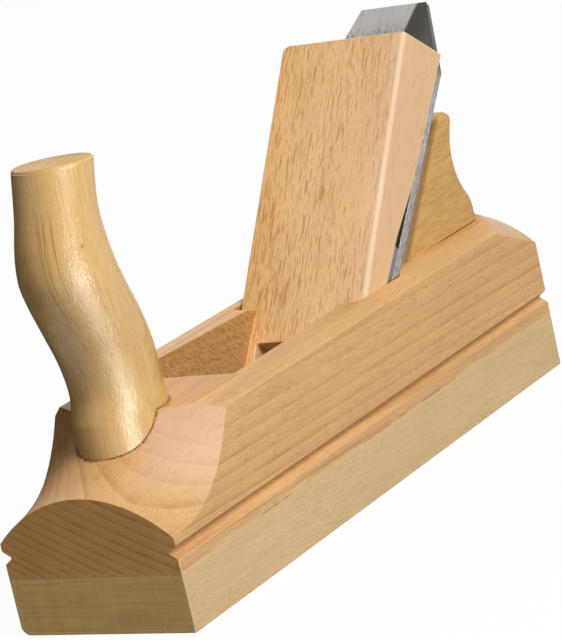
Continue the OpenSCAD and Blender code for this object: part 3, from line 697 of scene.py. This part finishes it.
def horn_rings(around=96, up=150):
    """Oval sections up the horn. Each is a circle of its width, parted at the middle by its
    length less its width, moved ahead by its lean; the top ones tilt and the brim is rounded."""
    share = np.linspace(0, 1 - 1.2 * HORN_EDGE_R / HORN_RISE, up)
    table = through_stations(HORN_STATIONS, share)
    foot, top = HORN_STATIONS[0], HORN_STATIONS[-1]
    brim = np.linspace(0, math.pi / 2, BRIM_STEPS)
    inset = 2 * HORN_EDGE_R * (1 - np.cos(brim))
    lean = np.concatenate(([0], table[:, 1], np.full(BRIM_STEPS, top[1])))
    wide = np.concatenate(([foot[2]], table[:, 2], top[2] - inset))
    long = np.concatenate(([foot[3]], table[:, 3], top[3] - inset))
    z = BODY_TOP + np.concatenate(([-HORN_DEPTH], share * HORN_RISE,
                                   HORN_RISE - HORN_EDGE_R * (1 - np.sin(brim))))
    tilt = HORN_TOP_TILT * np.clip((share - NECK) / (1 - NECK), 0, None)
    tilt = np.concatenate(([0], tilt, np.full(BRIM_STEPS, HORN_TOP_TILT)))
    a = 2 * math.pi * (np.arange(around) + 0.5) / around
    ahead = np.sign(np.cos(a)) * ((long - wide) / 2)[:, None] + np.cos(a) * (wide / 2)[:, None]
    return np.stack((HORN_X + lean[:, None] + ahead,
                     HORN_ASIDE + np.sin(a) * (wide / 2)[:, None],
                     z[:, None] + ahead * np.tan(tilt)[:, None]), axis=-1), lean


def horn_marks(tree, placed, colour):
    """Broad warm patches, long brown streaks gathered down the middle of the front, fainter
    ones elsewhere, and one small dark speck."""
    place = add(tree, "VectorMath", {0: placed, 1: HORN_PITH}, operation="ADD").outputs[0]
    up, across, ahead = apart(tree, place)
    patch = ramp(tree, noise(tree, place, (0.03, 0.09, 0.09), 2), 0.4, 0.62, 0, 0.5)
    colour = mix(tree, patch, colour, HORN_WARM)
    middle = calc(tree, "MULTIPLY_ADD", up, -STREAK_LEAN, STREAK_AT)
    off = calc(tree, "SUBTRACT", across, middle)
    near = product(tree, ramp(tree, calc(tree, "ABSOLUTE", off), 1.5, 5, 1, 0),
                   ramp(tree, up, 72, 84), ramp(tree, up, 116, 124, 1, 0),
                   ramp(tree, ahead, 4, 8))
    beside = add(tree, "CombineXYZ", {0: up, 1: off, 2: ahead}).outputs[0]
    streak = noise(tree, beside, (0.014, 2.0, 0.1), 2, 0.55)
    strong = calc(tree, "MAXIMUM", product(tree, ramp(tree, streak, 0.5, 0.6), near),
                  product(tree, ramp(tree, streak, 0.58, 0.68), patch))
    colour = mix(tree, product(tree, near, 0.3), colour, HORN_BROWN)
    colour = mix(tree, product(tree, strong, 0.85), colour, STREAK_BROWN)
    from_speck = add(tree, "VectorMath", {0: place, 1: SPECK_AT},
                     operation="DISTANCE").outputs["Value"]
    return mix(tree, ramp(tree, from_speck, 0.35, 0.8, 0.75, 0), colour, SPECK_DARK)


def varnish(made):
    """Makes a material's coat lumpy: its normal rises and falls in fine dimples on slow waves,
    and the wood's own normal follows them a little."""
    tree = made.node_tree
    skin = next(node for node in tree.nodes if node.type == "BSDF_PRINCIPLED")
    objects = add(tree, "TexCoord").outputs["Object"]
    dimples = calc(tree, "MULTIPLY_ADD", noise(tree, objects, (1500, 1500, 1250), 2, 0.65), 0.9,
                   noise(tree, objects, (400, 400, 180), 1))
    wavy = add(tree, "Bump", {"Strength": 1.0, "Distance": 0.22 * MM, "Height": dimples})
    tree.links.new(wavy.outputs[0], skin.inputs["Coat Normal"])
    under = add(tree, "Bump", {"Strength": 1.0, "Distance": 0.035 * MM, "Height": dimples,
                               "Normal": skin.inputs["Normal"].links[0].from_socket})
    tree.links.new(under.outputs[0], skin.inputs["Normal"])
    return made


rings, horn_lean = horn_rings()
horn = closed_loft("hornbeam_horn", rings)
grain_place = np.stack((rings[..., 2], rings[..., 1],
                        rings[..., 0] - HORN_X - GRAIN_FOLLOWS * horn_lean[:, None]), axis=-1)
layer = horn.data.attributes.new("horn_grain", "FLOAT_VECTOR", "POINT")
layer.data.foreach_set("vector", grain_place.reshape(-1))
stand_in(horn, "horn", "stock", "hornbeam_varnished",
         varnish(wood("hornbeam_varnished", HORN_PITH, HORN_RING,
                      (HORN_PALE, HORN_LATE, HORN_FLECK), where="horn_grain", waver=5,
                      rings=0.5, flecks=0.12, fibres=0.24, gloss=0.5, coat=1.0,
                      coat_rough=0.17, end_tint=(0.82, 0.70, 0.34), relief=0.4,
                      extra=horn_marks)))

# Hand guard: a block of hornbeam behind the iron, rounded over where the palm bears on it
# and hollowed down its back, and glued in the body by a tongue.
GUARD_W, GUARD_H, GUARD_ROUND_R, GUARD_CORNER_R = 39.2, 38.7, 24.0, 4.0
GUARD_FRONT, GUARD_BACK, GUARD_UNDER = -51.4, -102.7, 5.0
GUARD_HOLLOW_R, GUARD_HEEL_H, GUARD_HOLLOW_IN = 19.5, 7.0, 6.8
GUARD_SOFT = np.array([
    # share of the way round the side view, radius of the long edges
    [0, 3.4], [0.4, 3.4], [0.51, 2.2], [0.62, 1.5], [0.87, 0.9], [1, 0.6]])
CORNER_PASSES, TIP_PASSES, TIP_BEFORE, TIP_AFTER = 38, 90, 8, 20
SOFT_PASSES, BEND_SHARE = 12, 0.75
TONGUE_L, TONGUE_W, TONGUE_DEPTH, TONGUE_INTO = 30.0, 12.0, 9.0, 3.0
GUARD_PITH, GUARD_RING = (0, 30, 170), 3.2
GUARD_PALE, GUARD_LATE, GUARD_FLECK = (0.63, 0.37, 0.12), (0.53, 0.29, 0.08), (0.42, 0.22, 0.055)
# The foot's dark line is a painted shadow, and the front's dark is painted shade behind the iron.
GUARD_FOOT_SHADOW, GUARD_FRONT_SHADE = (0.10, 0.045, 0.015), (0.22, 0.11, 0.03)


def evened(path, steps):
    """A path's points moved along it until they are equally far apart."""
    length = np.concatenate(([0], np.cumsum(np.hypot(*np.diff(path, axis=0).T))))
    even = np.linspace(0, length[-1], steps)
    return np.stack([np.interp(even, length, path[:, k]) for k in (0, 1)], axis=-1)


def soften(path, passes):
    """Smooths a path in place. Each pass moves every point but the ends halfway to the middle
    of its neighbours."""
    for _ in range(passes):
        path[1:-1] = path[1:-1] / 2 + (path[:-2] + path[2:]) / 4


def guard_outline(steps=220):
    """The guard's side view, from under the foot's front over the top to under its back: a
    slope at 45 degrees, an arc tangent to it, a hollow arc and an upright, with its corners
    smoothed, and its tip once more."""
    rise = GUARD_H - GUARD_ROUND_R * (1 - math.cos(math.pi / 4))
    start = np.array([[GUARD_FRONT + GUARD_UNDER, BODY_TOP - GUARD_UNDER],
                      [GUARD_FRONT - rise, BODY_TOP + rise]])
    centre = np.array([GUARD_FRONT - rise - GUARD_ROUND_R * math.sin(math.pi / 4),
                       BODY_TOP + GUARD_H - GUARD_ROUND_R])
    a = np.linspace(math.pi / 4, math.acos((GUARD_BACK - centre[0]) / GUARD_ROUND_R), 40)[1:]
    arc = centre + GUARD_ROUND_R * np.stack((np.cos(a), np.sin(a)), axis=-1)
    middle = np.array([GUARD_BACK + GUARD_HOLLOW_IN - GUARD_HOLLOW_R,
                       BODY_TOP + (GUARD_HEEL_H + GUARD_H) / 2])
    half = math.acos((GUARD_HOLLOW_R - GUARD_HOLLOW_IN) / GUARD_HOLLOW_R)
    b = np.linspace(half, -half, 40)
    hollow = middle + GUARD_HOLLOW_R * np.stack((np.cos(b), np.sin(b)), axis=-1)
    end = [[GUARD_BACK, BODY_TOP - GUARD_UNDER]]
    path = evened(np.concatenate((start, arc, hollow, end)), steps)
    soften(path, CORNER_PASSES)
    tip = np.argmin(np.where(path[:, 1] > BODY_TOP + GUARD_H / 2, path[:, 0], 0))
    soften(path[tip - TIP_BEFORE:tip + TIP_AFTER], TIP_PASSES)
    return path


def above_body(section, steps=200):
    """The part of a side view that stands above the body's top, its ends cut level."""
    above = np.flatnonzero(section[:, 1] > BODY_TOP)
    ends = []
    for i, j in ((above[0] - 1, above[0]), (above[-1] + 1, above[-1])):
        share = (BODY_TOP - section[i, 1]) / (section[j, 1] - section[i, 1])
        ends.append(section[i] + share * (section[j] - section[i]))
    return evened(np.concatenate((ends[:1], section[above[0]:above[-1] + 1], ends[1:])), steps)


def guard_rings():
    """The side view carried across the guard. Towards each side it is drawn in along its own
    normals on a quarter circle, of a radius that changes round the view and stays under the
    view's own radius, and its top is held under the corner's rounding."""
    path = guard_outline()
    way = np.gradient(path, axis=0)
    step = np.hypot(*way.T)
    way /= step[:, None]
    inward = np.stack((-way[:, 1], way[:, 0]), axis=-1)
    bend = np.sum(np.gradient(way, axis=0) * inward, axis=-1) / step
    soft = np.interp(np.linspace(0, 1, len(path)), GUARD_SOFT[:, 0], GUARD_SOFT[:, 1])
    soft = np.minimum(soft, BEND_SHARE / np.maximum(bend, 1e-3))
    for _ in range(SOFT_PASSES):
        mean = np.convolve(np.pad(soft, 2, mode="edge"), np.full(5, 0.2), "valid")
        soft = np.minimum(soft, mean)
    half = GUARD_W / 2
    outer = half - soft.max() * (1 - np.sin(np.linspace(0, math.pi / 2, 14)))
    y = np.concatenate((-outer[::-1], np.linspace(-outer[0], outer[0], 20)[1:-1], outer))
    past = np.clip(np.abs(y)[:, None] - (half - soft), 0, soft)
    drawn = soft - np.sqrt(soft ** 2 - past ** 2)
    section = path + drawn[..., None] * inward
    over = np.clip(np.abs(y) - (half - GUARD_CORNER_R), 0, GUARD_CORNER_R)
    lid = BODY_TOP + GUARD_H - GUARD_CORNER_R + np.sqrt(GUARD_CORNER_R ** 2 - over ** 2)
    section[..., 1] = np.minimum(section[..., 1], lid[:, None])
    cut = np.stack([above_body(one) for one in section])
    across = np.broadcast_to(y[:, None], cut.shape[:2])
    return np.stack((cut[..., 0], across, cut[..., 1]), axis=-1)


def guard_marks(tree, placed, colour):
    """A painted shadow, a thin dark line, under the back half of its foot, painted shade on the
    front behind the iron, and faint mottled bands, paler and darker by turns."""
    along, _, up = apart(tree, place_mm(tree))
    foot = product(tree, ramp(tree, up, BODY_TOP + 0.2, BODY_TOP + 0.5, 1, 0),
                   ramp(tree, along, -80, -70, 0.95, 0))
    # Painted shadow under the back of the foot.
    colour = mix(tree, foot, colour, GUARD_FOOT_SHADOW)
    ahead = apart(tree, add(tree, "TexCoord").outputs["Normal"])[0]
    # Painted shade on the faces turned towards the iron.
    colour = mix(tree, ramp(tree, ahead, 0.05, 0.5, 0, 0.92), colour, GUARD_FRONT_SHADE)
    mottle = ramp(tree, noise(tree, placed, (0.12, 0.2, 0.55), 2, 0.6), 0.35, 0.65, 0.9, 1.06)
    return shaded(tree, colour, mottle)


guard = closed_loft("hornbeam_guard", guard_rings()[::-1])
tongue_mesh = bmesh.new()
tongue_mesh.from_mesh(guard.data)
made = bmesh.ops.create_cube(tongue_mesh, size=MM)
bmesh.ops.scale(tongue_mesh, vec=(TONGUE_L, TONGUE_W, TONGUE_DEPTH + TONGUE_INTO),
                verts=made["verts"])
bmesh.ops.translate(tongue_mesh, verts=made["verts"], vec=Vector((
    (GUARD_FRONT + GUARD_BACK) / 2, 0, BODY_TOP + (TONGUE_INTO - TONGUE_DEPTH) / 2)) * MM)
tongue_mesh.to_mesh(guard.data)
tongue_mesh.free()
stand_in(guard, "hand_guard", "stock", "hornbeam_guard",
         wood("hornbeam_guard", GUARD_PITH, GUARD_RING, (GUARD_PALE, GUARD_LATE, GUARD_FLECK),
              fleck_size=1.5, rings=0.3, flecks=0.2, fibres=0.12, gloss=0.45, sheen=0.12,
              coat=0.1, end_tint=(0.9, 0.85, 0.75), relief=0.4, extra=guard_marks))

# Strike button: a turned steel button with a domed face, driven into the heel and hit
# with a hammer to free the wedge.
HEEL, BUTTON_Z, BUTTON_R, BUTTON_OUT, BUTTON_IN = -120.0, 38.0, 10.0, 3.0, 2.0
STEM_R, STEM_L, STEM_EDGE, RIM_EDGE, CENTRE_R = 5.0, 16.0, 0.4, 0.2, 0.05


def button_rings(around=72):
    """A profile turned about X: a flat end, the stem, the head's rim and a dome, whose height
    over the rim falls with the square root of a sphere's equation."""
    dome = (BUTTON_R ** 2 + BUTTON_OUT ** 2) / (2 * BUTTON_OUT)
    r = np.linspace(BUTTON_R, CENTRE_R, 18)
    x = HEEL - BUTTON_OUT + dome - np.sqrt(dome ** 2 - r ** 2)
    head, end = HEEL + BUTTON_IN, HEEL + BUTTON_IN + STEM_L
    r = np.concatenate(([CENTRE_R, STEM_R - STEM_EDGE, STEM_R, STEM_R, BUTTON_R - RIM_EDGE,
                         BUTTON_R], r[1:]))
    x = np.concatenate(([end, end, end - STEM_EDGE, head, head, head - RIM_EDGE], x[1:]))
    a = 2 * math.pi * np.arange(around) / around
    return np.stack((np.repeat(x[:, None], around, axis=1), r[:, None] * np.cos(a),
                     BUTTON_Z + r[:, None] * np.sin(a)), axis=-1)


# Brushed gives fine parallel scratches along X of a place in millimetres, and worn patches
tree, given, out = group("brushed", (("Place", "Vector", None),), ("Scratch", "Patch"))
tree.links.new(noise(tree, given["Place"], (0.05, 6, 6), 4, 0.7), out["Scratch"])
tree.links.new(noise(tree, given["Place"], (0.03, 0.08, 0.08), 3, 0.6), out["Patch"])


def steel(name, tone, roughness, turn=0.0, turned=False, scratch=0.25, extra=None):
    """Ground or turned steel: scratches vary its tone, roughness and height. On turned steel
    they run round the button's axis."""
    made, tree = bare_material(name)
    place = add(tree, "Mapping", {"Vector": place_mm(tree), "Rotation": (0, turn, 0)}).outputs[0]
    if turned:
        along, across, up = apart(tree, place)
        rise = calc(tree, "SUBTRACT", up, BUTTON_Z)
        place = add(tree, "CombineXYZ", {0: 0.0, 1: distance(tree, rise, across),
                                         2: along}).outputs[0]
    marks = use(tree, "brushed", {"Place": place})
    tint = product(tree, ramp(tree, marks["Scratch"], 0.3, 0.7, 1 - scratch, 1.08),
                   ramp(tree, marks["Patch"], 0.3, 0.7, 0.9, 1.04))
    colour = shaded(tree, tone, tint)
    if extra:
        colour = extra(tree, place, colour)
    rough = ramp(tree, marks["Scratch"], 0.25, 0.75, roughness - 0.08, roughness + 0.08)
    bump = add(tree, "Bump", {"Strength": 0.35, "Distance": 0.01 * MM,
                              "Height": marks["Scratch"]})
    skin = add(tree, "BsdfPrincipled", {"Base Color": colour, "Metallic": 1.0,
                                        "Roughness": rough, "Normal": bump.outputs[0]})
    add(tree, "OutputMaterial", {"Surface": skin.outputs[0]})
    return made


button = closed_loft("strike_button_turned", button_rings()[::-1])
stand_in(button, "strike_button", "stock", "button_steel",
         steel("steel_turned", (0.42, 0.42, 0.42), 0.32, turned=True))

# Iron: a tapered plate of tool steel with cut corners, ground along its length, its edge
# bevelled and its slot ended by a round hole that lets the screw's head through.
BED_ANGLE, BED_X = math.radians(45), 14.8
BED_TURN = math.pi - BED_ANGLE
# The dark colour paints a reflection on the head's corner, beyond DARK_CORNER's line, and the
# specks.
DARK_CORNER, DARK_REFLECTION_AND_SPECKS = ((171.2, 6.2), (181.0, 8.9)), (0.045, 0.042, 0.036)
HEAD_FROM, SPECKS_TO = 150, 171


def iron_marks(tree, place, colour):
    """A painted dark reflection covers the left corner of the head, parted from the ground face by
    a slanting line, and there are dark specks towards the wedge. How far a point lies past the
    line is the cross product of the line's direction and the way from its start to the point."""
    along, across, _ = apart(tree, place)
    up = calc(tree, "ADD", along, BED_X * math.cos(BED_ANGLE))
    (u, y), (far_u, far_y) = DARK_CORNER
    run = math.hypot(far_u - u, far_y - y)
    run_u, run_y = (far_u - u) / run, (far_y - y) / run
    past = calc(tree, "MULTIPLY_ADD", across, run_u, u * run_y - y * run_u)
    past = calc(tree, "MULTIPLY_ADD", up, -run_y, past)
    dark = product(tree, ramp(tree, past, -0.5, 0.7), ramp(tree, up, HEAD_FROM, HEAD_FROM + 6),
                   ramp(tree, past, 4, 13, 0.93, 0.84))
    specks = product(tree, ramp(tree, up, SPECKS_TO, SPECKS_TO + 6, 0.5, 0),
                     ramp(tree, noise(tree, place, (0.5, 2.5, 2.5), 2), 0.45, 0.6))
    # Painted dark reflection on the corner, and the real specks.
    return mix(tree, calc(tree, "MAXIMUM", dark, specks), colour, DARK_REFLECTION_AND_SPECKS)


iron = merged_copy("iron", "cutting_iron")
ease_arrises(iron, 0.2 * MM)
stand_in(iron, "iron", "iron", "iron_steel",
         steel("iron_ground", (0.50, 0.475, 0.445), 0.3, turn=BED_TURN, extra=iron_marks),
         steel("iron_arris", (0.33, 0.32, 0.31), 0.42, turn=BED_TURN, scratch=0.1,
               extra=iron_marks))

# Cap iron: a thinner plate in front of the iron, held to it by the screw, its lower edge
# close behind the cutting edge to break the shaving.
cap = merged_copy("cap_iron", "cap_iron_plate")
ease_arrises(cap, 0.12 * MM)
stand_in(cap, "cap_iron", "cap_iron", "cap_steel",
         steel("cap_ground", (0.26, 0.255, 0.265), 0.36, turn=BED_TURN),
         steel("cap_arris", (0.24, 0.235, 0.24), 0.45, turn=BED_TURN, scratch=0.1))

# Screw: turned from steel, its slotted head behind the iron in the bed's channel and its
# thread ending in the cap iron.
screw = merged_copy("cap_screw", "cap_iron_screw")
ease_arrises(screw, 0.25 * MM, sharper_than=math.radians(40))
stand_in(screw, "cap_screw", "cap_screw", "screw_steel",
         steel("screw_turned", (0.34, 0.34, 0.34), 0.34, turn=BED_TURN),
         steel("screw_arris", (0.42, 0.42, 0.42), 0.3, turn=BED_TURN, scratch=0.1))

# Wedge: sawn and planed from beech with its grain along its length, and driven between the
# cap iron and the abutments. Its left front arris is chamfered, and two legs straddle the throat.
WEDGE_TURN = math.pi - math.radians(50.9)
WEDGE_CHAMFER, WEDGE_EASING, WEDGE_LEFT = 1.5, 0.35, 22
WEDGE_PITH, WEDGE_RING = (0, 6, 60), 4.5
WEDGE_PALE, WEDGE_LATE, WEDGE_FLECK = (0.98, 0.625, 0.315), (0.90, 0.505, 0.21), (0.57, 0.225, 0.04)
# The paler colour by the chamfer is a painted highlight.
WEDGE_ARRIS, WEDGE_ORANGE, WEDGE_PAINTED_HIGHLIGHT = (0.84, 0.59, 0.375), (0.96, 0.84, 0.60), (0.90, 0.64, 0.42)
# The low colour is painted shade where the wedge goes into the slot.
WEDGE_SIDE, WEDGE_SLOT_SHADE = (0.70, 0.445, 0.24), (0.36, 0.21, 0.085)


def wedge_rounding(first, second):
    """The left front arris has the whole chamfer, the others a small part of it."""
    run = second - first
    along = run.dot(Vector((math.cos(WEDGE_TURN), 0, math.sin(WEDGE_TURN))))
    is_long = abs(along) > 0.999 * run.length and run.length > 60 * MM
    is_left = min(first.y, second.y) > WEDGE_LEFT * MM
    return 1.0 if is_long and is_left else WEDGE_EASING / WEDGE_CHAMFER


def wedge_tone(tree, placed, colour):
    """The front is more orange at its right, and paler towards the chamfer by a painted highlight.
    The sides are pale, plain and a little pink, and the left one is browned low down by
    painted shade where it goes into the slot."""
    across = calc(tree, "ADD", apart(tree, placed)[1], WEDGE_PITH[1])
    wavy = strayed(tree, across, 14, placed, (0.012, 0.1, 0.1), 2)
    colour = stained_or_shaded(tree, ramp(tree, wavy, -22, 2, 0.55, 0), colour, WEDGE_ORANGE)
    # Painted highlight towards the chamfer.
    colour = mix(tree, ramp(tree, across, 10, 25, 0, 0.35), colour, WEDGE_PAINTED_HIGHLIGHT)
    facing = apart(tree, add(tree, "TexCoord").outputs["Normal"])[1]
    side = ramp(tree, calc(tree, "ABSOLUTE", facing), 0.5, 0.95)
    colour = mix(tree, product(tree, side, 0.6), colour, WEDGE_SIDE)
    rise = apart(tree, place_mm(tree))[2]
    # Painted shade low on the left side, in the slot.
    low = product(tree, side, ramp(tree, rise, 52, 55, 0.8, 0), ramp(tree, across, 15, 16))
    return mix(tree, low, colour, WEDGE_SLOT_SHADE)


wedge = merged_copy("wedge", "beech_wedge")
weigh_arrises(wedge, 0.05, wedge_rounding)
ease_arrises(wedge, WEDGE_CHAMFER * MM, steps=5, weighted=True)
stand_in(wedge, "wedge", "wedge", "beech_wedge",
         wood("wedge_planed", WEDGE_PITH, WEDGE_RING, (WEDGE_PALE, WEDGE_LATE, WEDGE_FLECK),
              turn=WEDGE_TURN, fleck_size=0.85, flecks=0.66, rings=0.3, fibres=0.07,
              end_tint=(0.9, 0.85, 0.75), extra=wedge_tone),
         wood("wedge_arris", WEDGE_PITH, WEDGE_RING, (WEDGE_ARRIS, WEDGE_PALE, WEDGE_LATE),
              turn=WEDGE_TURN, flecks=0.1, rings=0.2, fibres=0.08, gloss=0.5))
